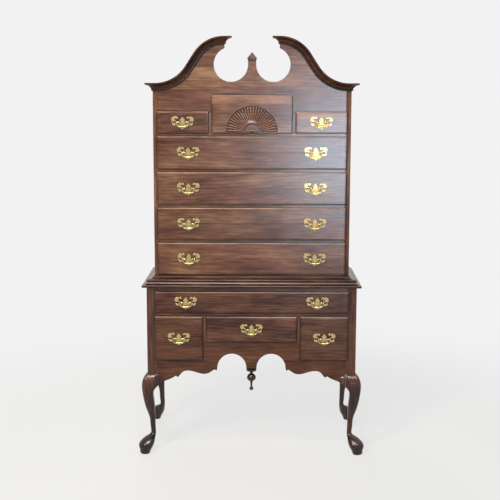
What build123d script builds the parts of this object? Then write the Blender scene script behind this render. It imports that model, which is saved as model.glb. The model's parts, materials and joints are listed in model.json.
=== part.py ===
from build123d import *
from dataclasses import dataclass, field
import math
import os

os.makedirs("parts", exist_ok=True)

# Sizes are in millimetres. X runs across the front, the front faces -Y and Z is the height above the floor.
# The origin is on the floor under the middle of the chest.

# Lower case
LOWER_WIDTH = 976
LOWER_DEPTH = 496
POST_SHOWING = 38          # post beside the drawer lips
LOWER_PANEL = 20           # side panels between the posts
SKIRT_Z = 453              # lower edge of the two deep side drawers
SIDE_DRAWER_HEIGHT = 207
CENTRE_DRAWER_HEIGHT = 121
CENTRE_DRAWER_WIDTH = 422
LOWER_LONG_HEIGHT = 100
LOWER_RAIL_SHOWING = 18    # rail left between two drawer lips
LOWER_DIVIDER_SHOWING = 17
TOP_RAIL_SHOWING = 20
LOWER_REAR_GAP = 34         # behind a closed drawer

# Upper case
UPPER_SET_IN = 36          # how far the upper case steps in from the lower one, at the front and the sides
STILE_SHOWING = 17.5       # front edge of the case side beside the drawer lips
LONG_DRAWER_HEIGHT = 150
LONG_DRAWERS = 4
SMALL_DRAWER_HEIGHT = 99
FAN_DRAWER_HEIGHT = 172
FAN_DRAWER_WIDTH = 368
UPPER_RAIL_SHOWING = 13.8
UPPER_DIVIDER_SHOWING = 14.7
UPPER_REAR_GAP = 18         # behind a closed drawer

# Boards that both cases share
RAIL_DEPTH = 60
DIVIDER_DEPTH = 40
RUNNER_WIDTH = 26
BACK_BOARD = 12
BACK_BOARD_WIDTH = 180
BOARD_SEAM = 1.0
CASE_BOARD = 18            # floor and top of the upper case, and the kicking boards

# Drawers
LIP = 5                    # how far a drawer lip covers its frame
LIP_THICKNESS = 9
THUMB_RADIUS = 5           # quarter round along the lip
FIELD_INSET = 7            # from the lip's edge to the raised field
FIELD_RISE = 1.5
SEAT_GAP = 0.3             # a closed lip to the frame, and a drawer side to its runner
SIDE_GAP = 1.5             # drawer to the sides of its opening
HEAD_ROOM = 3
PLUG = 13                  # thickness of the front inside the opening
DRAWER_SIDE = 12
DRAWER_BOTTOM = 8
BOTTOM_LIFT = 10
GROOVE = 5
BACK_DROP = 8              # drawer back below the sides' top edge
TAIL_PITCH = 34            # spacing aimed at for the dovetails
TAIL_LENGTH = 9
TAIL_ROOT = 0.52           # narrow and wide end of a dovetail as shares of the spacing
TAIL_TIP = 0.72

# Waist moulding
WAIST_OVERHANG = 21        # lip beyond the lower case
WAIST_HEIGHT = 49
WAIST_LIP = 11
WAIST_SHELF = 4            # level edge behind the lip's nose
WAIST_COVE = ((15, 5), (21, 15))   # through and end, in from the nose and up from the lip
WAIST_BEAD = ((18, 20), (23, 24))
WAIST_OVOLO = (14, 11)     # middle of the upper curve, out from the case and down from the top
WAIST_FILLET = (6, 4)      # width and height of the top fillet
WAIST_CLEARANCE = 5        # moulding top to the lowest upper drawer

# Pediment and crown
TYMPANUM_RISE = 54         # fan drawer's top to the eaves
PEDIMENT_BOARD = 20
SCROLL_RISE = 209
SCROLL_SLOPE = 57          # degrees, at the straight middle of the scroll
SCROLL_STRAIGHT = 70
EAVE_RUN = 12              # level run between the case corner and the scroll
CROWN_REACH = 33
CROWN_DROP = 36
CROWN_FILLET = 7
CROWN_BEAD = 3.5
CROWN_QUIRK = 2            # small steps on both sides of the cove
CROWN_COVE = (9, 8)        # middle of the cove, out from its foot and down from the fillet
PLINTH_WIDTH = 37
KEYHOLE_UNDERCUT = 49      # how far each round opening runs behind its scroll's end
KEYHOLE_RISE = 84          # centre of the round openings above the eaves
PLINTH_NECK = 21           # plinth above the openings' centre
CAP_WIDTH = 42
CAP_DEPTH = 34
CAP_SLAB = 10
CAP_PEAK = 23
CAP_FLAT = 1.5
CAP_STEP = 3               # slab's width over the pyramid's foot

# Cabriole legs: height share between foot and knee, overhang past the post, width, roundness
FOOT_HEIGHT = 88
KNEE_DROP = 68             # knee top below the side drawers
LEG_CURVE = [
    (1.000, 0.0, 42.4, 0.12),
    (0.968, 12.5, 53.5, 0.30),
    (0.916, 21.5, 59.5, 0.40),
    (0.788, 26.5, 56.0, 0.50),
    (0.657, 23.0, 49.5, 0.60),
    (0.529, 17.0, 47.0, 0.70),
    (0.394, 7.0, 38.5, 0.80),
    (0.259, -5.0, 27.0, 0.90),
    (0.082, -9.5, 23.5, 0.94),
    (0.000, -8.5, 25.0, 0.94),
]
# Pad feet: share of the foot's height, overhang and width
FOOT_CURVE = [
    (0.850, 14.0, 46.0),
    (0.680, 34.0, 64.0),
    (0.520, 44.0, 71.0),
    (0.340, 43.0, 63.0),
    (0.170, 39.0, 51.0),
    (0.000, 33.0, 39.0),
]
FOOT_ROUNDNESS = 0.94

# Knee blocks, measured from the case corner and down from the knee top
KNEE_REACH = 75
KNEE_SLOPE = 21
KNEE_END = 39
KNEE_ARCH = 61             # lower edge under the post's edge
KNEE_FOOT = 95
KNEE_THICKNESS = 26
KNEE_FADE = [0.2, 0.6, 0.92]       # share of the knee's overhang at the block's end, post's edge and root

# Apron: heights are measured from SKIRT_Z, places along it as shares of the run from arch to knee
APRON_THICKNESS = 22
ARCH_RADIUS = 68
TONGUE_WIDTH = 48          # between the two arches
TONGUE_DROP = 45.5
ARCH_CENTRE_DROP = 39.5
SCALLOP_SPUR = (0.012, -52.5)
SCALLOP_WAVE = [
    (0.055, -48.0),
    (0.118, -58.5),
    (0.173, -66.5),
    (0.243, -69.6),
    (0.384, -62.5),
    (0.537, -54.0),
    (0.635, -59.0),
    (0.694, -74.0),
    (0.733, -85.5),
]
SCALLOP_TAIL = [(0.776, -79.5), (0.863, -92.5), (0.961, -102.0)]
SIDE_SKIRT_RISE = 50       # middle of a side panel's lower edge above its ends
SIDE_SKIRT_RUN = 70        # length of each curve up to it

# Turned drop under the apron
DROP_COLLAR_RADIUS = 23.5
DROP_COLLAR = 9
DROP_NECK_RADIUS = 6.4
DROP_NECK = 23.5
DROP_URN = [(18, 33), (21, 42), (17.5, 52.5), (8, 61), (4.7, 75), (4.2, 85)]
DROP_BALL_RADIUS = 9.4
DROP_LENGTH = 105

# Fan carving
FAN_RADIUS = 117
FAN_RIBS = 26
FAN_FLOOR = 8
FAN_HUB_RADIUS = 33
FAN_GROOVE = 5
FAN_RIM = 6
FAN_RIM_DEPTH = 0.8
FAN_FLARE = 10
RIB_SINK = 0.3             # rib axis below the carved floor
RIB_FILL = 0.92            # rib width over rib spacing

# Brass pulls: right half of a plate's outline in X and Z from the pivots' level, arcs as (through, end)
PLATE_TOP = (0, 25.0)
PLATE_HALF = [
    (12.6, 8.9),
    ((10.0, 5.5), (11.6, 0.0)),
    ((14.9, 3.4), (20.5, 5.0)),
    ((27.9, 5.6), (33.0, 9.0)),
    ((34.4, 15.0), (27.9, 16.8)),
    ((23.7, 15.6), (19.1, 17.6)),
    ((21.9, 25.2), (27.9, 26.4)),
    (32.6, 22.8),
    ((37.2, 26.6), (42.8, 25.0)),
    ((52.3, 13.0), (46.5, 1.6)),
    ((40.9, 3.8), (35.3, 3.0)),
    ((29.3, 1.0), (27.0, -3.0)),
    ((30.7, -4.4), (34.9, -3.2)),
    (39.1, -6.0),
    ((43.7, -2.6), (48.4, -3.4)),
    ((45.1, -12.0), (37.2, -16.4)),
    ((32.1, -14.6), (28.4, -10.8)),
    ((27.0, -18.5), (21.4, -23.0)),
    ((17.7, -24.0), (14.0, -27.6)),
    ((6.5, -28.0), (0, -36.0)),
]
PLATE_PIVOT_RISE = 4.8     # the pivots above the middle of the plate
PLATE_THICKNESS = 2
PULL_DROP = 4              # plate below the middle of its drawer
PULL_INSET_UPPER = 142.5   # a long drawer's end to the middle of its pull
PULL_INSET_LOWER = 144.5
POST_ARM_GAP = 0.9         # post head to the bail arm beside it
POST_STAND = 9             # pivot in front of the plate
POST_HEAD_RADIUS = 5
POST_NECK_RADIUS = 3.2
POST_FLANGE_RADIUS = 6
POST_FLANGE = 1.5
BOLT_RADIUS = 2.3
BOLT_GAP = 0.1
NUT_WIDTH = 9
NUT_HEIGHT = 4
BOLT_TIP = 2               # bolt past its nut
BAIL_WIDTH = 53            # between the middles of the two arms
BAIL_DROP = 20
BAIL_RADIUS = 2.6
BAIL_CORNER = 17
BAIL_GRIP_RADIUS = 3.3
BAIL_GRIP = BAIL_WIDTH - 2 * BAIL_CORNER
PIN_RADIUS = 2.0
PIN_GAP = 0.05
PIN_END = 1.0              # pin past the post's head

# Ring pull of the fan drawer
RING_RADIUS = 17
RING_WIRE = 2.2
RING_BAR = 2.5             # bar that turns in the eye
RING_PLAY = 0.3
RING_KNOP = 3.0
RING_RISE = 4.5            # pivot above the fan's centre
BOSS_RADIUS = 8.5
BOSS_SCREW = 12
EYE_RADIUS = 5
EYE_WIDTH = 4

# Places that follow from the sizes
HALF = LOWER_WIDTH / 2
LOWER_FACE = -LOWER_DEPTH / 2
BACK = LOWER_DEPTH / 2
POST = POST_SHOWING + LIP
KNEE_TOP = SKIRT_Z - KNEE_DROP
LOWER_ROW_TOP = SKIRT_Z + SIDE_DRAWER_HEIGHT
LOWER_LONG_Z = LOWER_ROW_TOP + LOWER_RAIL_SHOWING
LOWER_TOP = LOWER_LONG_Z + LOWER_LONG_HEIGHT + TOP_RAIL_SHOWING
UPPER_HALF = HALF - UPPER_SET_IN
UPPER_FACE = LOWER_FACE + UPPER_SET_IN
UPPER_SIDE = STILE_SHOWING + LIP
UPPER_DRAWER_DEPTH = LOWER_DEPTH - UPPER_SET_IN - BACK_BOARD - UPPER_REAR_GAP
LOWER_DRAWER_DEPTH = LOWER_DEPTH - BACK_BOARD - LOWER_REAR_GAP
WAIST_REACH = UPPER_SET_IN + WAIST_OVERHANG
WAIST_TOP = LOWER_TOP + WAIST_HEIGHT
FIRST_LONG_Z = WAIST_TOP + WAIST_CLEARANCE
LONG_PITCH = LONG_DRAWER_HEIGHT + UPPER_RAIL_SHOWING
TOP_ROW_Z = FIRST_LONG_Z + LONG_DRAWERS * LONG_PITCH
SMALL_TOP = TOP_ROW_Z + SMALL_DRAWER_HEIGHT
FAN_TOP = TOP_ROW_Z + FAN_DRAWER_HEIGHT
EAVE_Z = FAN_TOP + TYMPANUM_RISE
SCROLL_TOP = EAVE_Z + SCROLL_RISE
UPPER_INNER = UPPER_HALF - UPPER_SIDE
LOWER_INNER = HALF - POST
UPPER_DIVIDER = UPPER_DIVIDER_SHOWING + 2 * LIP
LOWER_DIVIDER = LOWER_DIVIDER_SHOWING + 2 * LIP
FAN_OPENING = FAN_DRAWER_WIDTH / 2 - LIP
CENTRE_OPENING = CENTRE_DRAWER_WIDTH / 2 - LIP
POST_SPREAD = BAIL_WIDTH - 2 * (BAIL_RADIUS + POST_ARM_GAP + POST_HEAD_RADIUS)


@dataclass
class Drawer:
    """One drawer: the rectangle that its lipped front covers, its case's face and its pulls."""
    name: str
    left: float
    right: float
    bottom: float
    top: float
    face: float
    depth: float
    pulls: dict = field(default_factory=dict)

    @property
    def field_face(self):
        """Y of the raised field, where the brasses sit."""
        return self.face - SEAT_GAP - LIP_THICKNESS - FIELD_RISE

    @property
    def pivot_z(self):
        return (self.bottom + self.top) / 2 - PULL_DROP + PLATE_PIVOT_RISE


def block(x0, x1, y0, y1, z0, z1):
    """A rectangular piece between two opposite corners."""
    place = Pos((x0 + x1) / 2, (y0 + y1) / 2, (z0 + z1) / 2)
    return place * Box(x1 - x0, y1 - y0, z1 - z0)


def outline(start, *steps):
    """A closed face: a step is a point, an arc's (through, end) or the list of a spline's points."""
    edges = []
    here = start
    for step in steps:
        if isinstance(step, list):
            edges.append(Spline(here, *step))
            here = step[-1]
        elif isinstance(step[0], tuple):
            edges.append(ThreePointArc(here, step[0], step[1]))
            here = step[1]
        else:
            edges.append(Line(here, step))
            here = step
    edges.append(Line(here, start))
    return make_face(edges)


def front_board(face, y_front, thickness):
    """An outline in X and Z, cut from a board whose front is at y_front."""
    return extrude(Plane.XZ.offset(-y_front) * face, -thickness)


def rod(axis, radius, start, end, x=0, y=0, z=0):
    """A round bar along X or Y between two coordinates on that axis."""
    middle = (start + end) / 2
    bar = Cylinder(radius, abs(end - start))
    if axis == "X":
        return Pos(middle, y, z) * Rot(0, 90, 0) * bar
    return Pos(x, middle, z) * Rot(90, 0, 0) * bar


def both_sides(*pieces):
    """The given right-hand pieces and their left-hand twins."""
    return list(pieces) + [mirror(piece, about=Plane.YZ) for piece in pieces]


def save(name, *pieces):
    """Write one named piece, or a group of separate pieces, to its STEP file."""
    solids = [solid for piece in pieces for solid in piece.solids()]
    group = solids[0] if len(solids) == 1 else Compound(children=solids)
    group.label = name
    export_step(group, f"parts/{name}.step")
    print(name, len(solids), round(sum(solid.volume for solid in solids)))


# Legs, knee blocks, apron and drop

def leg_section(z, overhang, width, roundness):
    """One rounded square slice of the front right leg."""
    inset = overhang - width / 2
    place = Pos(HALF + inset, LOWER_FACE - inset, z)
    return place * RectangleRounded(width, width, roundness * width / 2)


def cabriole_leg():
    """Front right post and curved leg, from the pad under the foot to the top of the lower case."""
    rise = KNEE_TOP - FOOT_HEIGHT
    slices = [leg_section(share * FOOT_HEIGHT, over, width, FOOT_ROUNDNESS)
              for share, over, width in reversed(FOOT_CURVE)]
    slices += [leg_section(FOOT_HEIGHT + share * rise, over, width, roundness)
               for share, over, width, roundness in reversed(LEG_CURVE)]
    post = block(HALF - POST, HALF, LOWER_FACE, LOWER_FACE + POST, KNEE_TOP, LOWER_TOP)
    return loft(slices) + post


def knee_block(leg):
    """Bracket between the front right knee and the apron, along which the knee's curve fades out."""
    end = HALF - KNEE_REACH
    post_edge = HALF - POST
    root = post_edge + POST / 2
    deep = LOWER_FACE + KNEE_THICKNESS
    rise = KNEE_TOP - FOOT_HEIGHT
    knee = [curve for curve in LEG_CURVE if curve[0] * rise > rise - KNEE_FOOT - KNEE_SLOPE]

    def swell(x, fade, top):
        """Upright slice whose front stands out by a share of the knee's overhang."""
        front = [(LOWER_FACE - fade * over, top - (1 - share) * rise) for share, over, *_ in knee]
        return Plane.YZ.offset(x) * outline((deep, top), front[0], front[1:], (deep, front[-1][1]))

    places = [(end, KNEE_TOP - KNEE_SLOPE), (post_edge, KNEE_TOP), (root, KNEE_TOP)]
    bracket = loft([swell(x, fade, top) for (x, top), fade in zip(places, KNEE_FADE)], ruled=True)
    under = outline(
        (end, KNEE_TOP - KNEE_END),
        ((post_edge, KNEE_TOP - KNEE_ARCH), (root, KNEE_TOP - KNEE_FOOT)),
        (root, FOOT_HEIGHT),
        (end, FOOT_HEIGHT),
    )
    pieces = bracket - front_board(under, LOWER_FACE - KNEE_THICKNESS, 2 * KNEE_THICKNESS) - leg
    return pieces.solids().sort_by(SortBy.VOLUME)[-1]


def skirt_end(corner, direction):
    """Outline points around a knee block, for a board that ends against a post."""
    return [
        (corner - direction * POST, KNEE_TOP),
        (corner - direction * KNEE_REACH, KNEE_TOP - KNEE_SLOPE),
        (corner - direction * KNEE_REACH, KNEE_TOP - KNEE_END),
    ]


def apron():
    """Front skirt with two round arches, scalloped towards the knees."""
    arch_x = TONGUE_WIDTH / 2 + ARCH_RADIUS
    arch_z = SKIRT_Z - ARCH_CENTRE_DROP
    arch_end = arch_x + ARCH_RADIUS
    run = HALF - KNEE_REACH - arch_end

    def along(share, height):
        return (arch_end + share * run, SKIRT_Z + height)

    wave = [along(*point) for point in SCALLOP_WAVE]
    tail = [along(*point) for point in SCALLOP_TAIL]
    tongue = (TONGUE_WIDTH / 2, SKIRT_Z - TONGUE_DROP)
    side_top = SKIRT_Z + LIP
    centre_top = LOWER_ROW_TOP - CENTRE_DRAWER_HEIGHT + LIP
    step = CENTRE_OPENING + LOWER_DIVIDER
    half = outline(
        (0, centre_top),
        (step, centre_top),
        (step, side_top),
        (LOWER_INNER, side_top),
        *skirt_end(HALF, 1),
        tail[-1],
        tail[-2::-1],
        wave[-1],
        wave[-2::-1],
        along(*SCALLOP_SPUR),
        (arch_end, arch_z),
        ((arch_x, arch_z + ARCH_RADIUS), (TONGUE_WIDTH / 2, arch_z)),
        tongue,
        (0, tongue[1]),
    )
    right = front_board(half, LOWER_FACE, APRON_THICKNESS)
    return right + mirror(right, about=Plane.YZ)


def lower_side_panel():
    """Right side of the lower case, between its two posts, with a curved lower edge."""
    low = KNEE_TOP - KNEE_END
    flat = BACK - KNEE_REACH - SIDE_SKIRT_RUN
    steps = [(step / 4, (1 - math.cos(math.pi * step / 4)) / 2) for step in range(1, 5)]
    rise = [(BACK - KNEE_REACH - SIDE_SKIRT_RUN * run, low + SIDE_SKIRT_RISE * lift) for run, lift in steps]
    fall = [(-y, z) for y, z in reversed(rise[:-1])]
    front_end = skirt_end(LOWER_FACE, -1)
    face = outline(
        (LOWER_FACE + POST, LOWER_TOP),
        (BACK - POST, LOWER_TOP),
        *skirt_end(BACK, 1),
        rise,
        (-flat, low + SIDE_SKIRT_RISE),
        fall + [front_end[2]],
        front_end[1],
        front_end[0],
    )
    return extrude(Plane.YZ.offset(HALF - LOWER_PANEL) * face, LOWER_PANEL)


def turned_drop():
    """Turned pendant under the apron's tongue."""
    urn = [(radius, -down) for radius, down in DROP_URN]
    stem_radius = urn[-1][0]
    ball = DROP_BALL_RADIUS - DROP_LENGTH
    ball_top = ball + math.sqrt(DROP_BALL_RADIUS ** 2 - stem_radius ** 2)
    cove = ((DROP_COLLAR_RADIUS + DROP_NECK_RADIUS) / 2 - DROP_COLLAR / 2, -DROP_COLLAR - DROP_COLLAR / 2)
    face = outline(
        (0, 0),
        (DROP_COLLAR_RADIUS, 0),
        (DROP_COLLAR_RADIUS, -DROP_COLLAR),
        (cove, (DROP_NECK_RADIUS, -DROP_NECK)),
        urn,
        (stem_radius, ball_top),
        ((DROP_BALL_RADIUS, ball), (0, -DROP_LENGTH)),
    )
    turned = revolve(Plane.XZ * face, Axis.Z)
    return Pos(0, LOWER_FACE + APRON_THICKNESS / 2, SKIRT_Z - TONGUE_DROP) * turned


# Waist moulding, crown and pediment

def plan_prism(points):
    """A tall prism over a plan outline, for cutting mitres."""
    face = make_face(Polyline(*points, close=True))
    return extrude(face, SCROLL_TOP + CROWN_REACH)


def waist_profile():
    """Waist section: outwards from the upper case's face, and up from the lower case's top."""
    nose = WAIST_REACH - WAIST_LIP / 4
    fillet_out, fillet_high = WAIST_FILLET
    return outline(
        (0, 0),
        (nose, 0),
        ((WAIST_REACH, WAIST_LIP / 2), (nose, WAIST_LIP)),
        (nose - WAIST_SHELF, WAIST_LIP),
        tuple((nose - step_in, WAIST_LIP + up) for step_in, up in WAIST_COVE),
        tuple((nose - step_in, WAIST_LIP + up) for step_in, up in WAIST_BEAD),
        ((WAIST_OVOLO[0], WAIST_HEIGHT - WAIST_OVOLO[1]), (fillet_out, WAIST_HEIGHT - fillet_high)),
        (fillet_out, WAIST_HEIGHT),
        (0, WAIST_HEIGHT),
    )


def waist_moulding():
    """Front and side lengths, mitred at the two front corners."""
    profile = waist_profile()
    tip_x = UPPER_HALF + WAIST_REACH
    tip_y = UPPER_FACE - WAIST_REACH
    to_front = Plane((0, UPPER_FACE, LOWER_TOP), x_dir=(0, -1, 0), z_dir=(-1, 0, 0))
    to_side = Plane((UPPER_HALF, 0, LOWER_TOP), x_dir=(1, 0, 0), z_dir=(0, -1, 0))
    front = extrude(to_front * profile, tip_x, both=True)
    side = extrude(to_side * profile, LOWER_DEPTH, both=True)
    corner = (UPPER_HALF, UPPER_FACE)
    front_plan = plan_prism([(-UPPER_HALF, UPPER_FACE), (-tip_x, tip_y), (tip_x, tip_y), corner])
    side_plan = plan_prism([corner, (tip_x, tip_y), (tip_x, BACK), (UPPER_HALF, BACK)])
    return [front & front_plan] + both_sides(side & side_plan)


def scroll_path():
    """Top edge of the right crown from beyond the corner to beyond the scroll's end, as edges and end X."""
    turn = math.radians(SCROLL_SLOPE)
    climb = SCROLL_RISE - SCROLL_STRAIGHT * math.sin(turn)
    radius = climb / (2 * (1 - math.cos(turn)))
    start = UPPER_HALF - EAVE_RUN
    half_turn = turn / 2
    foot = (start - radius * math.sin(turn), EAVE_Z + radius * (1 - math.cos(turn)))
    head = (foot[0] - SCROLL_STRAIGHT * math.cos(turn), foot[1] + SCROLL_STRAIGHT * math.sin(turn))
    end = head[0] - radius * math.sin(turn)
    low_mid = (start - radius * math.sin(half_turn), EAVE_Z + radius * (1 - math.cos(half_turn)))
    high_mid = (end + radius * math.sin(half_turn), SCROLL_TOP - radius * (1 - math.cos(half_turn)))
    edges = [
        Line((UPPER_HALF + 2 * CROWN_REACH, EAVE_Z), (start, EAVE_Z)),
        ThreePointArc((start, EAVE_Z), low_mid, foot),
        Line(foot, head),
        ThreePointArc(head, high_mid, (end, SCROLL_TOP)),
        Line((end, SCROLL_TOP), (end - 2 * CROWN_REACH, SCROLL_TOP)),
    ]
    return edges, end


def crown_profile():
    """Crown section: outwards from the board's face, and down from its top edge."""
    cove_low = CROWN_DROP - 2 * CROWN_BEAD - CROWN_QUIRK
    cove_out = CROWN_BEAD + CROWN_QUIRK
    cove_through = (cove_out + CROWN_COVE[0], -CROWN_FILLET - CROWN_COVE[1])
    return outline(
        (0, 0),
        (CROWN_REACH, 0),
        (CROWN_REACH, -CROWN_FILLET),
        (CROWN_REACH - CROWN_QUIRK, -CROWN_FILLET - CROWN_QUIRK / 2),
        (cove_through, (cove_out, -cove_low)),
        (CROWN_BEAD, -cove_low),
        ((2 * CROWN_BEAD, -cove_low - CROWN_BEAD), (CROWN_BEAD, -cove_low - 2 * CROWN_BEAD)),
        (0, -CROWN_DROP),
    )


def crown_moulding():
    """Scrolled front lengths, side lengths and the short returns at the scrolls' inner ends."""
    profile = crown_profile()
    edges, inner = scroll_path()
    reach = CROWN_REACH + 1
    path = Plane.XZ.offset(-UPPER_FACE) * Wire(edges)
    beyond = UPPER_HALF + 2 * CROWN_REACH
    start = Plane((beyond, UPPER_FACE, EAVE_Z), x_dir=(0, -1, 0), z_dir=(-1, 0, 0))
    at_side = Plane((UPPER_HALF, 0, EAVE_Z), x_dir=(1, 0, 0), z_dir=(0, -1, 0))
    at_end = Plane((inner, UPPER_FACE, SCROLL_TOP), x_dir=(-1, 0, 0), z_dir=(0, 1, 0))
    corner = (UPPER_HALF, UPPER_FACE)
    corner_tip = (UPPER_HALF + reach, UPPER_FACE - reach)
    end = (inner, UPPER_FACE)
    end_tip = (inner - reach, UPPER_FACE - reach)
    board_back = UPPER_FACE + PEDIMENT_BOARD
    front = sweep(start * profile, path) & plan_prism([corner, corner_tip, end_tip, end])
    side_plan = plan_prism([corner, corner_tip, (corner_tip[0], BACK), (UPPER_HALF, BACK)])
    side = extrude(at_side * profile, LOWER_DEPTH, both=True) & side_plan
    end_plan = plan_prism([end, end_tip, (end_tip[0], board_back), (inner, board_back)])
    end_return = extrude(at_end * profile, LOWER_DEPTH, both=True) & end_plan
    return both_sides(front, side, end_return)


def pediment_board():
    """Board behind the scrolls, with the fan drawer's notch, two keyhole openings and the plinth."""
    edges, inner = scroll_path()
    plinth = PLINTH_WIDTH / 2
    radius = (inner - plinth + KEYHOLE_UNDERCUT) / 2
    centre_x = plinth + radius
    centre_z = EAVE_Z + KEYHOLE_RISE
    opens_at = centre_z + math.sqrt(radius ** 2 - (inner - centre_x) ** 2)
    diagonal = radius * math.sqrt(0.5)
    low = SMALL_TOP - LIP
    notch_top = FAN_TOP - LIP
    beyond = UPPER_HALF + 2 * CROWN_REACH
    rim = [
        Line((0, notch_top), (FAN_OPENING, notch_top)),
        Line((FAN_OPENING, notch_top), (FAN_OPENING, low)),
        Line((FAN_OPENING, low), (beyond, low)),
        Line((beyond, low), (beyond, EAVE_Z)),
        *edges[:4],
        Line((inner, SCROLL_TOP), (inner, opens_at)),
        ThreePointArc((inner, opens_at), (centre_x + radius, centre_z), (centre_x, centre_z - radius)),
        ThreePointArc((centre_x, centre_z - radius), (centre_x - diagonal, centre_z - diagonal),
                      (plinth, centre_z)),
        Line((plinth, centre_z), (plinth, centre_z + PLINTH_NECK)),
        Line((plinth, centre_z + PLINTH_NECK), (0, centre_z + PLINTH_NECK)),
        Line((0, centre_z + PLINTH_NECK), (0, notch_top)),
    ]
    right = front_board(make_face(rim), UPPER_FACE, PEDIMENT_BOARD)
    right &= block(0, UPPER_INNER, UPPER_FACE, UPPER_FACE + PEDIMENT_BOARD, low, SCROLL_TOP)
    return right + mirror(right, about=Plane.YZ)


def plinth_cap():
    """Small pointed cap on the middle plinth."""
    base_z = EAVE_Z + KEYHOLE_RISE + PLINTH_NECK
    middle_y = UPPER_FACE + PEDIMENT_BOARD / 2
    slab = block(-CAP_WIDTH / 2, CAP_WIDTH / 2, middle_y - CAP_DEPTH / 2, middle_y + CAP_DEPTH / 2,
                 base_z, base_z + CAP_SLAB)
    shoulder = Pos(0, middle_y, base_z + CAP_SLAB)
    peak = loft([
        shoulder * Rectangle(CAP_WIDTH - CAP_STEP, CAP_DEPTH - CAP_STEP),
        Pos(0, 0, CAP_PEAK) * shoulder * Rectangle(CAP_FLAT, CAP_FLAT),
    ], ruled=True)
    return slab + peak


# Case frames and boards

def upper_rail_z(level):
    """Lower and upper edge of the rail under the given row of upper drawers."""
    showing = FIRST_LONG_Z + level * LONG_PITCH - UPPER_RAIL_SHOWING
    return showing - LIP, showing + UPPER_RAIL_SHOWING + LIP


def drawer_rails():
    """Rails and uprights that frame the drawers at the front of both cases."""
    pieces = []
    upper_back = UPPER_FACE + RAIL_DEPTH
    lower_back = LOWER_FACE + RAIL_DEPTH
    pieces.append(block(-UPPER_INNER, UPPER_INNER, UPPER_FACE, UPPER_FACE + PEDIMENT_BOARD,
                        LOWER_TOP, FIRST_LONG_Z + LIP))
    for level in range(1, LONG_DRAWERS + 1):
        low, high = upper_rail_z(level)
        pieces.append(block(-UPPER_INNER, UPPER_INNER, UPPER_FACE, upper_back, low, high))
    pieces.append(block(-LOWER_INNER, LOWER_INNER, LOWER_FACE, lower_back,
                        LOWER_LONG_Z + LOWER_LONG_HEIGHT - LIP, LOWER_TOP))
    lower_rail_low = LOWER_ROW_TOP - LIP
    pieces.append(block(-LOWER_INNER, LOWER_INNER, LOWER_FACE, lower_back,
                        lower_rail_low, LOWER_LONG_Z + LIP))
    pieces += both_sides(block(FAN_OPENING, FAN_OPENING + UPPER_DIVIDER, UPPER_FACE,
                               UPPER_FACE + DIVIDER_DEPTH, TOP_ROW_Z + LIP, SMALL_TOP - LIP))
    centre_low = LOWER_ROW_TOP - CENTRE_DRAWER_HEIGHT + LIP
    pieces += both_sides(block(CENTRE_OPENING, CENTRE_OPENING + LOWER_DIVIDER, LOWER_FACE,
                               LOWER_FACE + DIVIDER_DEPTH, centre_low, lower_rail_low))
    return pieces


def drawer_runners():
    """Hidden boards: runners, guides, partitions, and the upper case's floor and top."""
    back = BACK - BACK_BOARD
    rail_back = UPPER_FACE + RAIL_DEPTH
    board_back = UPPER_FACE + PEDIMENT_BOARD
    pieces = [block(-UPPER_INNER, UPPER_INNER, board_back, back, LOWER_TOP, LOWER_TOP + CASE_BOARD)]
    floor_top = LOWER_TOP + CASE_BOARD
    pieces += both_sides(block(UPPER_INNER - RUNNER_WIDTH, UPPER_INNER, board_back, back,
                               floor_top, FIRST_LONG_Z + LIP))
    for level in range(1, LONG_DRAWERS + 1):
        low, high = upper_rail_z(level)
        pieces += both_sides(block(UPPER_INNER - RUNNER_WIDTH, UPPER_INNER, rail_back, back, low, high))
    low, high = upper_rail_z(LONG_DRAWERS)
    divider_end = FAN_OPENING + UPPER_DIVIDER
    case_top = FAN_TOP + LIP
    pieces += both_sides(
        block(FAN_OPENING - RUNNER_WIDTH, divider_end + RUNNER_WIDTH, rail_back, back, low, high),
        block(FAN_OPENING, divider_end, UPPER_FACE + DIVIDER_DEPTH, back, high, case_top),
    )
    pieces.append(block(-UPPER_INNER, UPPER_INNER, board_back, back, case_top, case_top + CASE_BOARD))

    panel = HALF - LOWER_PANEL
    lower_rail_back = LOWER_FACE + RAIL_DEPTH
    post_back = LOWER_FACE + POST
    rear_post = BACK - POST
    long_low = LOWER_LONG_Z + LIP
    rail_low = LOWER_ROW_TOP - LIP
    side_low = SKIRT_Z + LIP
    centre_low = LOWER_ROW_TOP - CENTRE_DRAWER_HEIGHT + LIP
    runner_drop = long_low - rail_low
    kicker_low = LOWER_TOP - TOP_RAIL_SHOWING - LIP
    lower_end = CENTRE_OPENING + LOWER_DIVIDER
    apron_back = LOWER_FACE + APRON_THICKNESS
    inner_edge = LOWER_INNER - RUNNER_WIDTH
    pieces += both_sides(
        block(inner_edge, LOWER_INNER, lower_rail_back, back, kicker_low, LOWER_TOP),
        block(inner_edge, LOWER_INNER, lower_rail_back, back, rail_low, long_low),
        block(LOWER_INNER, panel, post_back, rear_post, rail_low, LOWER_TOP),
        block(inner_edge, LOWER_INNER, apron_back, back, side_low - runner_drop, side_low),
        block(LOWER_INNER, panel, post_back, rear_post, side_low - runner_drop, rail_low),
        block(CENTRE_OPENING, lower_end, LOWER_FACE + DIVIDER_DEPTH, back, side_low - runner_drop, rail_low),
        block(lower_end, lower_end + RUNNER_WIDTH, apron_back, back, side_low - runner_drop, side_low),
        block(CENTRE_OPENING - RUNNER_WIDTH, CENTRE_OPENING, apron_back, back,
              centre_low - runner_drop, centre_low),
    )
    return pieces


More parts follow.
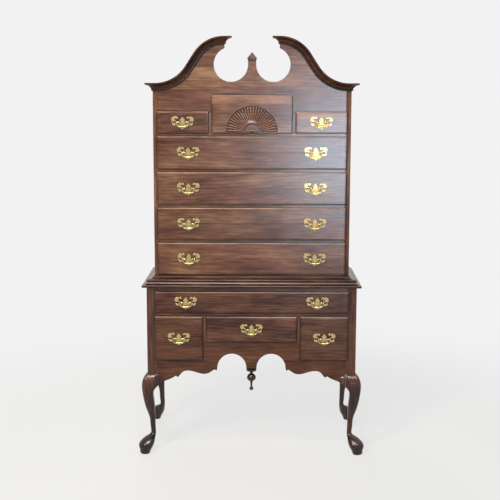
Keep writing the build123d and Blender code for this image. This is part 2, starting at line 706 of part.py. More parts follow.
def back_boards():
    """Level boards that close the back of both cases."""
    pieces = []
    upper_top = FAN_TOP + LIP + CASE_BOARD
    for half, low, high in [(LOWER_INNER, KNEE_TOP, LOWER_TOP), (UPPER_INNER, LOWER_TOP, upper_top)]:
        count = max(1, round((high - low) / BACK_BOARD_WIDTH))
        pitch = (high - low) / count
        for index in range(count):
            seam = BOARD_SEAM if index < count - 1 else 0
            z0 = low + index * pitch
            pieces.append(block(-half, half, BACK - BACK_BOARD, BACK, z0, z0 + pitch - seam))
    return pieces


# Drawers

def drawer_list():
    """Every drawer of the chest, from the top row down."""
    drawers = []
    upper = UPPER_HALF - STILE_SHOWING
    fan = FAN_DRAWER_WIDTH / 2
    small = fan + UPPER_DIVIDER_SHOWING
    small_pull = (upper + small) / 2
    top_row = (TOP_ROW_Z, SMALL_TOP, UPPER_FACE, UPPER_DRAWER_DEPTH)
    drawers.append(Drawer("small_left", -upper, -small, *top_row, {"bail": -small_pull}))
    drawers.append(Drawer("small_right", small, upper, *top_row, {"bail": small_pull}))
    drawers.append(Drawer("fan", -fan, fan, TOP_ROW_Z, FAN_TOP, UPPER_FACE, UPPER_DRAWER_DEPTH))
    for index in range(LONG_DRAWERS):
        low = FIRST_LONG_Z + (LONG_DRAWERS - 1 - index) * LONG_PITCH
        pulls = {"left_bail": PULL_INSET_UPPER - upper, "right_bail": upper - PULL_INSET_UPPER}
        drawers.append(Drawer(f"long_{index + 1}", -upper, upper, low, low + LONG_DRAWER_HEIGHT,
                              UPPER_FACE, UPPER_DRAWER_DEPTH, pulls))
    lower = HALF - POST_SHOWING
    centre = CENTRE_DRAWER_WIDTH / 2
    side = centre + LOWER_DIVIDER_SHOWING
    side_pull = (lower + side) / 2
    pulls = {"left_bail": PULL_INSET_LOWER - lower, "right_bail": lower - PULL_INSET_LOWER}
    drawers.append(Drawer("lower_long", -lower, lower, LOWER_LONG_Z, LOWER_LONG_Z + LOWER_LONG_HEIGHT,
                          LOWER_FACE, LOWER_DRAWER_DEPTH, pulls))
    lower_row = (LOWER_ROW_TOP, LOWER_FACE, LOWER_DRAWER_DEPTH)
    drawers.append(Drawer("lower_left", -lower, -side, SKIRT_Z, *lower_row, {"bail": -side_pull}))
    drawers.append(Drawer("lower_centre", -centre, centre, LOWER_ROW_TOP - CENTRE_DRAWER_HEIGHT,
                          *lower_row, {"bail": 0}))
    drawers.append(Drawer("lower_right", side, lower, SKIRT_Z, *lower_row, {"bail": side_pull}))
    return drawers


def drawer_box(drawer):
    """Dovetailed sides, back and bottom of one drawer."""
    left = drawer.left + LIP + SIDE_GAP
    right = drawer.right - LIP - SIDE_GAP
    low = drawer.bottom + LIP + SEAT_GAP
    high = drawer.top - LIP - HEAD_ROOM
    front = drawer.face + PLUG
    rear = drawer.face + drawer.depth
    count = max(2, round((high - low) / TAIL_PITCH))
    pitch = (high - low) / count
    edge = [(rear, low), (front, low)]
    for index in range(count):
        middle = low + (index + 0.5) * pitch
        root = TAIL_ROOT * pitch / 2
        tip = TAIL_TIP * pitch / 2
        edge += [(front, middle - root), (front - TAIL_LENGTH, middle - tip),
                 (front - TAIL_LENGTH, middle + tip), (front, middle + root)]
    edge += [(front, high), (rear, high)]
    face = make_face(Polyline(*edge, close=True))
    bottom_z = low + BOTTOM_LIFT
    inner_left = left + DRAWER_SIDE
    inner_right = right - DRAWER_SIDE
    bottom = block(inner_left - GROOVE, inner_right + GROOVE, front - GROOVE, rear,
                   bottom_z, bottom_z + DRAWER_BOTTOM)
    back = block(inner_left, inner_right, rear - DRAWER_SIDE, rear,
                 bottom_z + DRAWER_BOTTOM, high - BACK_DROP)
    sides = [extrude(Plane.YZ.offset(x) * face, DRAWER_SIDE) - bottom
             for x in (left, right - DRAWER_SIDE)]
    return [*sides, back, bottom]


def carve_fan(front, drawer):
    """Cut the half-round fan into the front and raise its ribs, groove and hub."""
    middle_x = (drawer.left + drawer.right) / 2
    centre = Pos(middle_x, drawer.field_face, drawer.bottom + FIELD_INSET)
    rim_in = FAN_HUB_RADIUS + FAN_GROOVE
    rim_out = rim_in + FAN_RIM
    flare_out = rim_out + FAN_FLARE
    above = -2 * FIELD_RISE
    section = outline(
        (FAN_HUB_RADIUS, above),
        (FAN_HUB_RADIUS, FAN_FLOOR),
        (rim_in, FAN_FLOOR),
        (rim_in, 2 * FAN_RIM_DEPTH),
        (((rim_in + rim_out) / 2, FAN_RIM_DEPTH), (rim_out, 2 * FAN_RIM_DEPTH)),
        (flare_out, FAN_FLOOR),
        (FAN_RADIUS, FAN_FLOOR),
        (FAN_RADIUS, above),
    )
    carved = front - centre * revolve(section, Axis((0, 0, 0), (0, -1, 0)), revolution_arc=180)
    half_step = math.pi / FAN_RIBS / 2
    swell = RIB_FILL * math.sin(half_step)
    start = flare_out - FAN_FLARE / 3
    end = FAN_RADIUS / (1 + math.sin(half_step))
    ribs = []
    for index in range(FAN_RIBS):
        angle = (2 * index + 1) * half_step
        out = Vector(math.cos(angle), 0, math.sin(angle))
        axis = Plane(Vector(0, FAN_FLOOR + RIB_SINK, 0) + out * start, z_dir=out)
        length = end - start
        taper = Cone(start * swell, end * swell, length, align=(Align.CENTER, Align.CENTER, Align.MIN))
        ribs.append(centre * (axis * (taper + Pos(0, 0, length) * Sphere(end * swell))))
    return carved + ribs


def drawer_front(drawer, box):
    """Lipped front with a thumbnail edge, bored for its pulls and socketed for the box."""
    back = drawer.face - SEAT_GAP
    plug = block(drawer.left + LIP + SIDE_GAP, drawer.right - LIP - SIDE_GAP, back, drawer.face + PLUG,
                 drawer.bottom + LIP + SIDE_GAP, drawer.top - LIP - SIDE_GAP)
    lip = block(drawer.left, drawer.right, back - LIP_THICKNESS, back, drawer.bottom, drawer.top)
    lip = fillet(lip.faces().sort_by(Axis.Y)[0].edges(), THUMB_RADIUS)
    raised = block(drawer.left + FIELD_INSET, drawer.right - FIELD_INSET, drawer.field_face, back,
                   drawer.bottom + FIELD_INSET, drawer.top - FIELD_INSET)
    front = lip + raised + plug
    for piece in box:
        front -= piece
    for x in drawer.pulls.values():
        for side in (-1, 1):
            front -= rod("Y", BOLT_RADIUS + BOLT_GAP, drawer.field_face, drawer.face + PLUG,
                         x=x + side * POST_SPREAD / 2, z=drawer.pivot_z)
    return front


# Brass pulls

def back_plate(x, y, z):
    """Batwing plate whose back is at y and whose two posts are level with z."""
    right = outline(PLATE_TOP, *PLATE_HALF)
    face = right + mirror(right, about=Plane.YZ)
    plate = extrude(Plane.XZ.offset(-y) * (Pos(x, z) * face), PLATE_THICKNESS)
    for side in (-1, 1):
        plate -= rod("Y", BOLT_RADIUS + BOLT_GAP, y - 2 * PLATE_THICKNESS, y + PLATE_THICKNESS,
                     x=x + side * POST_SPREAD / 2, z=z)
    return plate


def pull_post(x, y, z, inside):
    """Cross-drilled post in front of the plate, with its bolt and the nut inside the drawer."""
    stand = PLATE_THICKNESS + POST_STAND
    neck_end = stand - math.sqrt(POST_HEAD_RADIUS ** 2 - POST_NECK_RADIUS ** 2)
    flange_end = PLATE_THICKNESS + POST_FLANGE
    bolt_end = y - inside - NUT_HEIGHT - BOLT_TIP
    half = outline(
        (0, bolt_end),
        (BOLT_RADIUS, bolt_end),
        (BOLT_RADIUS, PLATE_THICKNESS),
        (POST_FLANGE_RADIUS, PLATE_THICKNESS),
        (POST_FLANGE_RADIUS, flange_end),
        (POST_NECK_RADIUS, flange_end),
        (POST_NECK_RADIUS, neck_end),
        ((POST_HEAD_RADIUS, stand), (0, stand + POST_HEAD_RADIUS)),
    )
    turned = Rot(90, 0, 0) * Rot(0, 0, 45) * revolve(Plane.XZ * half, Axis.Z)
    post = Pos(x, y, z) * turned
    post -= rod("X", PIN_RADIUS + PIN_GAP, x - 2 * POST_HEAD_RADIUS, x + 2 * POST_HEAD_RADIUS,
                y=y - stand, z=z)
    nut = block(x - NUT_WIDTH / 2, x + NUT_WIDTH / 2, inside, inside + NUT_HEIGHT,
                z - NUT_WIDTH / 2, z + NUT_WIDTH / 2)
    nut -= rod("Y", BOLT_RADIUS + BOLT_GAP, inside - NUT_HEIGHT, inside + 2 * NUT_HEIGHT, x=x, z=z)
    return [post, nut]


def drawer_plates(drawer):
    """Plates, posts and nuts of one drawer's pulls."""
    pieces = []
    for x in drawer.pulls.values():
        pieces.append(back_plate(x, drawer.field_face, drawer.pivot_z))
        for side in (-1, 1):
            pieces += pull_post(x + side * POST_SPREAD / 2, drawer.field_face, drawer.pivot_z,
                                drawer.face + PLUG)
    return pieces


def bail(x, y, z):
    """Hanging handle whose two pins run in the posts, about an axis at (y, z)."""
    arm = BAIL_WIDTH / 2
    path = FilletPolyline((-arm, 0), (-arm, -BAIL_DROP), (arm, -BAIL_DROP), (arm, 0), radius=BAIL_CORNER)
    wire = Plane.XZ * Wire(path.edges())
    handle = sweep(Plane((-arm, 0, 0), z_dir=(0, 0, -1)) * Circle(BAIL_RADIUS), wire)
    grip_half = outline(
        (-BAIL_GRIP / 2, 0),
        (-BAIL_GRIP / 2, BAIL_RADIUS),
        [(0, BAIL_GRIP_RADIUS), (BAIL_GRIP / 2, BAIL_RADIUS)],
        (BAIL_GRIP / 2, 0),
    )
    handle += Pos(0, 0, -BAIL_DROP) * revolve(grip_half, Axis.X)
    pin_tip = POST_SPREAD / 2 - POST_HEAD_RADIUS - PIN_END
    for side in (-1, 1):
        handle += Pos(side * arm, 0, 0) * Sphere(BAIL_RADIUS)
        handle += rod("X", PIN_RADIUS, side * arm, side * pin_tip)
    return Pos(x, y, z) * handle


def ring_place(drawer):
    """Middle X and the pivot's Y and Z of the fan drawer's ring."""
    y = drawer.field_face - POST_STAND
    return (drawer.left + drawer.right) / 2, y, drawer.bottom + FIELD_INSET + RING_RISE


def ring_boss(drawer):
    """Round boss with an eye for the ring, and the screw that holds it in the fan's hub."""
    x, y, z = ring_place(drawer)
    seat = drawer.field_face
    boss = rod("Y", BOSS_RADIUS, seat - POST_FLANGE, seat, x=x, z=z)
    boss += rod("Y", POST_NECK_RADIUS, y, seat, x=x, z=z)
    boss += rod("Y", BOLT_RADIUS, seat, seat + BOSS_SCREW, x=x, z=z)
    boss += rod("X", EYE_RADIUS, x - EYE_WIDTH / 2, x + EYE_WIDTH / 2, y=y, z=z)
    return boss - rod("X", RING_BAR + RING_PLAY, x - BOSS_RADIUS, x + BOSS_RADIUS, y=y, z=z)


def ring(drawer):
    """Half ring whose straight bar turns in the boss's eye, with a small knop at its lowest point."""
    x, y, z = ring_place(drawer)
    reach = 2 * RING_RADIUS
    hoop = Rot(90, 0, 0) * Torus(RING_RADIUS, RING_WIRE) & block(-reach, reach, -reach, reach, -reach, 0)
    hoop += rod("X", RING_BAR, -RING_RADIUS - RING_BAR, RING_RADIUS + RING_BAR)
    hoop += Pos(0, 0, -RING_RADIUS) * Sphere(RING_KNOP)
    return Pos(x, y, z) * hoop


# Build every piece

front_right_leg = cabriole_leg()
front_right_block = knee_block(front_right_leg)
corner_mirror = Plane((HALF, LOWER_FACE, 0), z_dir=(1, 1, 0))
side_block = mirror(front_right_block, about=corner_mirror)
rear_right_leg = mirror(front_right_leg, about=Plane.XZ)
save("cabriole_legs", *both_sides(front_right_leg, rear_right_leg))
save("knee_blocks", *both_sides(front_right_block, side_block, mirror(side_block, about=Plane.XZ)))
save("front_apron", apron())
save("turned_drop", turned_drop())
upper_side_panel = block(UPPER_INNER, UPPER_HALF, UPPER_FACE, BACK, LOWER_TOP, EAVE_Z)
save("side_panels", *both_sides(lower_side_panel(), upper_side_panel))
save("drawer_rails", *drawer_rails())
save("drawer_runners", *drawer_runners())
save("back_boards", *back_boards())
save("waist_moulding", *waist_moulding())
save("pediment_board", pediment_board(), plinth_cap())
save("crown_moulding", *crown_moulding())

for drawer in drawer_list():
    box = drawer_box(drawer)
    front = drawer_front(drawer, box)
    save(f"{drawer.name}_box", *box)
    if drawer.pulls:
        save(f"{drawer.name}_plates", *drawer_plates(drawer))
    else:
        front = carve_fan(front, drawer)
        x, y, z = ring_place(drawer)
        front -= rod("Y", BOLT_RADIUS + BOLT_GAP, drawer.field_face, drawer.field_face + BOSS_SCREW,
                     x=x, z=z)
        save(f"{drawer.name}_boss", ring_boss(drawer))
        save(f"{drawer.name}_ring", ring(drawer))
    save(f"{drawer.name}_front", front)
    pivot_y = drawer.field_face - PLATE_THICKNESS - POST_STAND
    for name, x in drawer.pulls.items():
        save(f"{drawer.name}_{name}", bail(x, pivot_y, drawer.pivot_z))
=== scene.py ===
# %% [markdown]
# # A tall chest of drawers
# This chest stands in two parts: a lower case on curved legs and an upper case with a scrolled pediment.
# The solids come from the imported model, at their real size and place. Here they get their finish: each
# board gets its own run of grain and softly broken edges, and the brass gets its shine. Lengths are in
# metres, except where a name ends in MM.

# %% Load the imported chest
import json
import math
import random

import bmesh
import bpy
from mathutils import Euler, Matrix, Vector


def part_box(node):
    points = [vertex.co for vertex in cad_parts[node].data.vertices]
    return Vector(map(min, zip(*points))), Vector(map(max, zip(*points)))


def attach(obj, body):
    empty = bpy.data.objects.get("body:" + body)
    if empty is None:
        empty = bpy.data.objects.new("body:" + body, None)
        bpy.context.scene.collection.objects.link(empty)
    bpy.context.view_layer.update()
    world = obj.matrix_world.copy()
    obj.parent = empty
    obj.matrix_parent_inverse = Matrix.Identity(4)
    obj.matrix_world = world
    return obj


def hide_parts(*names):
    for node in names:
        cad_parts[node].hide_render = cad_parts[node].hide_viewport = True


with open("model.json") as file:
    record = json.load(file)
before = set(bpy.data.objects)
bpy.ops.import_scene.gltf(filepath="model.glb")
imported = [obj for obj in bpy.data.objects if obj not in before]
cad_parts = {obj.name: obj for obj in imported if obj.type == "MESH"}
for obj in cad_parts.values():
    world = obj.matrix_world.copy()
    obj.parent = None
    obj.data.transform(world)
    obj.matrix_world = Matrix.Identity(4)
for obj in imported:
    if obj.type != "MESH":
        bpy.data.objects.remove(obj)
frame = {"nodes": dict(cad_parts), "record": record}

scene = bpy.context.scene
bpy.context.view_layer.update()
bodies = frame["record"]["behaviour"]["bodies"]
body_of = {node: body for body, nodes in bodies.items() for node in nodes}
slot_of = {part["node"]: part["material_slot"] for part in frame["record"]["subparts"]}
print("nodes:", len(frame["nodes"]), "bodies:", len(bodies))

# %% [markdown]
# ## Three small helpers
# Every colour is written as an sRGB hex value, as a paint chart gives it, and one function turns it to the
# linear values that shaders work in. A second function adds a node with its settings and its links in one
# line, so that a material reads as a list of steps. A third one starts an empty material.

# %% Colour and node helpers
def linear(hex_colour):
    """An sRGB hex colour as linear red, green, blue and alpha."""
    channels = [int(hex_colour[place:place + 2], 16) / 255 for place in (1, 3, 5)]
    return [c / 12.92 if c <= 0.04045 else ((c + 0.055) / 1.055) ** 2.4 for c in channels] + [1.0]


def add(tree, kind, inputs=None, **settings):
    """Add one node: settings are its properties, and an input is a value or the socket that feeds it."""
    node = tree.nodes.new(kind)
    for name, value in settings.items():
        setattr(node, name, value)
    for key, value in (inputs or {}).items():
        socket = node.inputs[key]
        if isinstance(value, bpy.types.NodeSocket):
            tree.links.new(value, socket)
        else:
            socket.default_value = value
    return node


def new_material(name):
    """An empty material, its node tree and its Principled shader."""
    material = bpy.data.materials.new(name)
    material.use_nodes = True
    tree = material.node_tree
    return material, tree, tree.nodes["Principled BSDF"]


print("white is", linear("#FFFFFF"))

# %% [markdown]
# ## The camera
# The chest was seen from a little above its middle, almost square on, from nearly five metres away with a
# long lens. The camera is set from that place and those angles, so no shift is needed.

# %% Camera at the photo's place
FRAME_PIXELS = 500
FOCAL_PIXELS = 992.9           # focal length, measured in pixels of the square frame
SENSOR_MM = 36.0
CAMERA_PLACE = (0.0308, -4.7762, 1.6607)
CAMERA_DOWN = 8.625            # degrees, as are the next two
CAMERA_TURN = 0.503
CAMERA_ROLL = -0.11

camera_data = bpy.data.cameras.new("camera")
camera_data.sensor_width = SENSOR_MM
camera_data.lens = FOCAL_PIXELS / FRAME_PIXELS * SENSOR_MM
camera = bpy.data.objects.new("camera", camera_data)
scene.collection.objects.link(camera)
camera.location = CAMERA_PLACE
tilt = [math.radians(angle) for angle in (90 - CAMERA_DOWN, CAMERA_ROLL, CAMERA_TURN)]
camera.rotation_euler = Euler(tilt, "XYZ")
scene.camera = camera
print("lens in millimetres:", round(camera_data.lens, 2))

# %% [markdown]
# ## Lamps
# A soft key lamp stands in front of the chest, up on the left, so each drawer front drops a thin shadow
# below and to its right. A second lamp hangs overhead and lights the top edges. A wide, weak lamp beside
# the camera fills the front, and another one keeps the back readable. Neither of these two shows as a
# reflection. The last three show as reflections alone. A cool window stands behind the camera on the
# right: its mirror image falls on the upper right drawers, and the satin lacquer spreads it to a grey-blue
# sheen. A pale ceiling draws light lines along rounded edges, and a small glint lights the brass.

# %% Set up the lamps
LAMPS = [
    # name, place, target, width and height, colour, watts
    ("key", (-2.0, -3.4, 3.2), (0.0, -0.2, 1.1), (0.9, 0.9), "#FFF6EA", 100),
    ("overhead", (-0.3, -2.0, 4.2), (0.0, -0.2, 1.2), (1.2, 0.6), "#FFF8F0", 70),
    ("fill", (-1.4, -5.6, 1.6), (0.0, -0.2, 0.9), (2.6, 2.2), "#FFFAF2", 55),
    ("rear", (-0.8, 3.4, 3.2), (0.0, 0.2, 1.1), (2.2, 2.2), "#FFFFFF", 90),
    ("window", (1.3, -6.2, 1.18), (0.2, -0.2, 1.3), (1.7, 1.45), "#C8E6FF", 230),
    ("ceiling", (0.0, -2.6, 4.6), (0.0, -0.6, 1.0), (3.2, 2.2), "#FFFFFF", 150),
    ("glint", (0.64, -6.2, 1.1), (0.3, -0.2, 1.4), (0.35, 0.3), "#FFFFFF", 9),
]
NO_DIFFUSE = {"window", "ceiling", "glint"}
NO_REFLECTION = {"fill", "rear"}

scene.view_settings.view_transform = "Standard"
for name, place, target, (width, height), colour, power in LAMPS:
    lamp = bpy.data.lights.new(name, "AREA")
    lamp.shape = "RECTANGLE"
    lamp.size = width
    lamp.size_y = height
    lamp.energy = power
    lamp.color = linear(colour)[:3]
    lamp_object = bpy.data.objects.new(name, lamp)
    lamp_object.visible_camera = False
    lamp_object.visible_diffuse = name not in NO_DIFFUSE
    lamp_object.visible_glossy = name not in NO_REFLECTION
    scene.collection.objects.link(lamp_object)
    lamp_object.location = place
    aim = Vector(target) - Vector(place)
    lamp_object.rotation_euler = aim.to_track_quat("-Z", "Y").to_euler()
print("lamps:", [lamp[0] for lamp in LAMPS])

# %% [markdown]
# ## Backdrop
# A pale backdrop keeps the outline of the dark chest clear. It is nearly white by its own colour, and not
# through more light on the chest. The Light Path node tells which rays come from the camera, from a shiny
# surface or through a clear one. Those see the backdrop itself, and the others see a dim grey room that
# fills the shadows.

# %% World
BACKDROP = "#F2F2F2"
AMBIENT = "#D8DCE2"
AMBIENT_STRENGTH = 0.2


def shows_backdrop(tree):
    """A socket that is 1 for the rays that should see the pale backdrop itself."""
    path = add(tree, "ShaderNodeLightPath")
    seen = add(tree, "ShaderNodeMath", {0: path.outputs["Is Camera Ray"], 1: path.outputs["Is Glossy Ray"]},
               operation="MAXIMUM")
    return add(tree, "ShaderNodeMath", {0: seen.outputs[0], 1: path.outputs["Is Transmission Ray"]},
               operation="MAXIMUM").outputs[0]


world = bpy.data.worlds.new("studio")
world.use_nodes = True
scene.world = world
sky = world.node_tree
room = add(sky, "ShaderNodeBackground", {"Color": linear(AMBIENT), "Strength": AMBIENT_STRENGTH})
backdrop = add(sky, "ShaderNodeBackground", {"Color": linear(BACKDROP), "Strength": 1.0})
either = add(sky, "ShaderNodeMixShader", {0: shows_backdrop(sky), 1: room.outputs[0],
                                          2: backdrop.outputs[0]})
sky.links.new(either.outputs[0], sky.nodes["World Output"].inputs["Surface"])
print("backdrop:", BACKDROP, "room:", AMBIENT, "times", AMBIENT_STRENGTH)

# %% [markdown]
# ## Floor
# The chest stands on matt painted board, which shows a soft shadow and no reflection. Away from the chest
# the floor turns into the backdrop, so that no edge shows. A glow that grows with the distance does that.
# It counts only for the rays that see the backdrop, so the chest mirrors it but isn't lit by it.

# %% Painted floor
FLOOR = "#E4E4E2"
FLOOR_ROUGHNESS = 0.9
FLOOR_RADIUS = 30.0
FLOOR_SIDES = 96
NEAR_GLOW = 0.78               # the backdrop's share in the floor near the chest
SHADOW_REACH = (1.0, 2.8)      # distances between which the floor turns into the backdrop

floor_material, tree, shader = new_material("pale_studio_floor")
shader.inputs["Base Color"].default_value = linear(FLOOR)
shader.inputs["Roughness"].default_value = FLOOR_ROUGHNESS
shader.inputs["Specular IOR Level"].default_value = 0.0
place = add(tree, "ShaderNodeTexCoord").outputs["Object"]
away = add(tree, "ShaderNodeVectorMath", {0: place}, operation="LENGTH")
fade = add(tree, "ShaderNodeMapRange", {0: away.outputs["Value"], 1: SHADOW_REACH[0], 2: SHADOW_REACH[1],
                                        3: NEAR_GLOW, 4: 1.0}, interpolation_type="SMOOTHSTEP")
glow = add(tree, "ShaderNodeEmission", {"Color": linear(BACKDROP), "Strength": 1.0})
seen = add(tree, "ShaderNodeMath", {0: fade.outputs[0], 1: shows_backdrop(tree)}, operation="MULTIPLY")
surface = add(tree, "ShaderNodeMixShader", {0: seen.outputs[0], 1: shader.outputs[0], 2: glow.outputs[0]})
tree.links.new(surface.outputs[0], tree.nodes["Material Output"].inputs["Surface"])

bpy.ops.mesh.primitive_circle_add(vertices=FLOOR_SIDES, radius=FLOOR_RADIUS, fill_type="NGON")
floor = bpy.context.object
floor.name = "floor"
floor.data.materials.append(floor_material)
print("floor across:", 2 * FLOOR_RADIUS, "m")

# %% [markdown]
# ## Patterns in wood
# In flat-sawn hardwood the eye sees four things: broad light and dark figure, soft streaks along the
# fibres, growth rings that wander through each board, and short dark pores. A log is a stack of rings round
# an axis, so the rings come from a ring wave in the board's own coordinates. A later step stores these on
# each board as the attribute "grain", with X along the fibres. Noise drawn out along X gives the rest, and
# most of it drifts sideways on its way, because fibres are never quite straight.

# %% Sizes in the wood
FIGURE_MM = 65
STREAK_MM = 10
FIBRE_MM = 4
PORE_MM = 1.6                  # real pores are about 0.3 mm wide, drawn coarser so that they show
RING_MM = 11
WANDER_MM = 220                # the fibres wander sideways over this length
WANDER_REACH_MM = 25
FIGURE_STRETCH = 0.3           # width over length of a patch of figure
STREAK_STRETCH = 0.12
FIBRE_STRETCH = STREAK_STRETCH / 2
NOISE_PATTERNS = {
    # name: course of the fibres, stretch, size in millimetres, detail, roughness
    "figure": ("wandering", FIGURE_STRETCH, FIGURE_MM, 3.0, 0.5),
    "streaks": ("wandering", STREAK_STRETCH, STREAK_MM, 3.0, 0.55),
    "fibres": ("wandering", FIBRE_STRETCH, FIBRE_MM, 2.0, 0.5),
    "pores": ("straight", FIBRE_STRETCH, PORE_MM, 2.0, 0.5),
    "patches": ("straight", FIGURE_STRETCH, 2 * FIGURE_MM, 2.0, 0.5),
}
print("noise patterns:", list(NOISE_PATTERNS))

# %% Patterns of one board
WAVE_PERIOD = math.tau / 20    # of a Wave node whose scale is 1


def per_metre(size_mm):
    """The scale of a pattern whose features are about this size."""
    return 1000 / size_mm


def wood_patterns(tree):
    """The patterns of a board by name, each a socket from 0 to 1."""
    grain = add(tree, "ShaderNodeAttribute", attribute_name="grain").outputs["Vector"]
    drawn_out = (FIGURE_STRETCH, 1.0, 1.0)
    calm = add(tree, "ShaderNodeVectorMath", {0: grain, 1: drawn_out}, operation="MULTIPLY")
    wander = add(tree, "ShaderNodeTexNoise", {"Vector": calm.outputs[0], "Scale": per_metre(WANDER_MM),
                                              "Detail": 2.0})
    reach = (0.0, WANDER_REACH_MM / 1000, WANDER_REACH_MM / 1000)
    drift = add(tree, "ShaderNodeVectorMath", {0: wander.outputs["Color"], 1: reach, 2: grain},
                operation="MULTIPLY_ADD").outputs[0]
    courses = {"straight": grain, "wandering": drift}
    patterns = {}
    for name, (course, stretch, size_mm, detail, roughness) in NOISE_PATTERNS.items():
        place = add(tree, "ShaderNodeVectorMath", {0: courses[course], 1: (stretch, 1.0, 1.0)},
                    operation="MULTIPLY")
        noise = add(tree, "ShaderNodeTexNoise", {"Vector": place.outputs[0], "Scale": per_metre(size_mm),
                                                 "Detail": detail, "Roughness": roughness})
        patterns[name] = noise.outputs["Fac"]
    ring_place = add(tree, "ShaderNodeVectorMath", {0: drift, 1: drawn_out}, operation="MULTIPLY")
    rings = add(tree, "ShaderNodeTexWave", {"Vector": ring_place.outputs[0],
                                            "Scale": WAVE_PERIOD * per_metre(RING_MM), "Distortion": 3.0,
                                            "Detail": 2.0, "Detail Scale": 0.4},
                wave_type="RINGS", rings_direction="X")
    patterns["rings"] = rings.outputs["Fac"]
    return patterns


print("scale of the pores:", per_metre(PORE_MM), "per metre")

# %% [markdown]
# ## Stain
# Dense and open wood soak up stain by different amounts, so the patterns choose a colour between its
# darkest and its palest streak. A colour ramp does that, with the usual colour of the stain in the middle.
# The attribute "tone" makes a whole board paler or darker, and also carries painted shade and painted
# highlights. Patches turn a little redder or yellower.

# %% Colour of the stain
STAIN_WEIGHTS = {"figure": 0.46, "streaks": 0.34, "fibres": 0.1, "rings": 0.05}
TONE_WEIGHT = 0.12
RAMP_REACH = 0.2               # from the middle colour to the palest and the darkest one
PATCH_RANGE = (0.3, 0.7)       # of the noise that turns the hue
SAME_HUE = 0.5                 # a hue setting that changes nothing
HUE_SHIFT = 0.007


def weighted_sum(tree, terms):
    """Sum of sockets, each times its weight."""
    total = 0.0
    for socket, weight in terms:
        step = add(tree, "ShaderNodeMath", {0: socket, 1: weight, 2: total}, operation="MULTIPLY_ADD")
        total = step.outputs[0]
    return total


def stain(tree, patterns, dark, middle, light, contrast):
    """A socket with the colour of the stain, from the darkest streak to the palest."""
    tone = add(tree, "ShaderNodeAttribute", attribute_name="tone").outputs["Fac"]
    terms = [(patterns[name], weight * contrast) for name, weight in STAIN_WEIGHTS.items()]
    shade = weighted_sum(tree, terms + [(tone, TONE_WEIGHT)])
    centre = contrast * sum(STAIN_WEIGHTS.values()) / 2
    ramp = add(tree, "ShaderNodeValToRGB", {"Fac": shade})
    stops = ramp.color_ramp.elements
    stops[0].position = centre - RAMP_REACH
    stops[0].color = linear(dark)
    stops[1].position = centre + RAMP_REACH
    stops[1].color = linear(light)
    stops.new(centre).color = linear(middle)
    hue = add(tree, "ShaderNodeMapRange", {0: patterns["patches"], 1: PATCH_RANGE[0], 2: PATCH_RANGE[1],
                                           3: SAME_HUE - HUE_SHIFT, 4: SAME_HUE + HUE_SHIFT})
    tinted = add(tree, "ShaderNodeHueSaturation", {"Hue": hue.outputs[0], "Color": ramp.outputs["Color"]})
    return tinted.outputs[0]


print("patterns in the stain:", list(STAIN_WEIGHTS), "and the tone of each board")

# %% [markdown]
# ## Pores, and painted shade in corners
# Stain gathers in pores, and corners, creases and the gaps round the drawers are darkened with painted
# shade, so narrow places are darker than open faces. The Ambient Occlusion node measures how open a place
# is, so the painted shade follows every shape by itself, which drawing it by hand would not. The painted
# shade is lifted where a vertex attribute says so.

# %% Painted shade in corners, and pores
PORE_RANGE = (0.36, 0.46)      # of the noise that fills pores with stain
PORE_SHADE = 0.86
CORNER_SHADE_MM = 9                     # how far from a corner the painted shade reaches
CORNER_SHADE_RANGE = (0.62, 0.92)       # of the open share of a place's surroundings
# the darkest painted shade, right in a corner
CORNER_SHADE_DARKEST = 0.03
CORNER_SAMPLES = 6


def pores_and_painted_corner_shade(tree, patterns):
    """A socket that darkens pores, and corners with painted shade, and is 1 on open faces."""
    fleck = add(tree, "ShaderNodeMapRange", {0: patterns["pores"], 1: PORE_RANGE[0], 2: PORE_RANGE[1],
                                             3: PORE_SHADE, 4: 1.0})
    # painted shade: the less open a place, the darker it is painted
    open_share = add(tree, "ShaderNodeAmbientOcclusion", {"Distance": CORNER_SHADE_MM / 1000},
                     samples=CORNER_SAMPLES)
    painted_corner_shade = add(tree, "ShaderNodeMapRange", {0: open_share.outputs["AO"], 1: CORNER_SHADE_RANGE[0], 2: CORNER_SHADE_RANGE[1],
                                           3: CORNER_SHADE_DARKEST, 4: 1.0})
    corner_shade_lifted = add(tree, "ShaderNodeAttribute", attribute_name="corner_shade_lifted").outputs["Fac"]
    kept_corner_shade = add(tree, "ShaderNodeMix", {0: corner_shade_lifted, 2: painted_corner_shade.outputs[0], 3: 1.0})
    darker = add(tree, "ShaderNodeMath", {0: fleck.outputs[0], 1: kept_corner_shade.outputs[0]}, operation="MULTIPLY")
    return darker.outputs[0]


# prints how far the painted corner shade reaches
print("wax reaches", CORNER_SHADE_MM, "mm from a corner")

# %% [markdown]
# ## Lacquer
# The show wood is mahogany under a satin lacquer. The lacquer is clear, so it shines white over the brown,
# and the shader's own specular layer gives that without a second coat. It is a little smoother where the
# figure is dark, and the pores stay open as faint dents, which a Bump node draws.

# %% The woods
SHEEN_RANGE = (-0.04, 0.05)    # change of roughness with the figure
GRAIN_RELIEF = {"pores": 0.6, "fibres": 0.4}
GRAIN_RELIEF_MM = 0.4
GRAIN_STRENGTH = 0.15


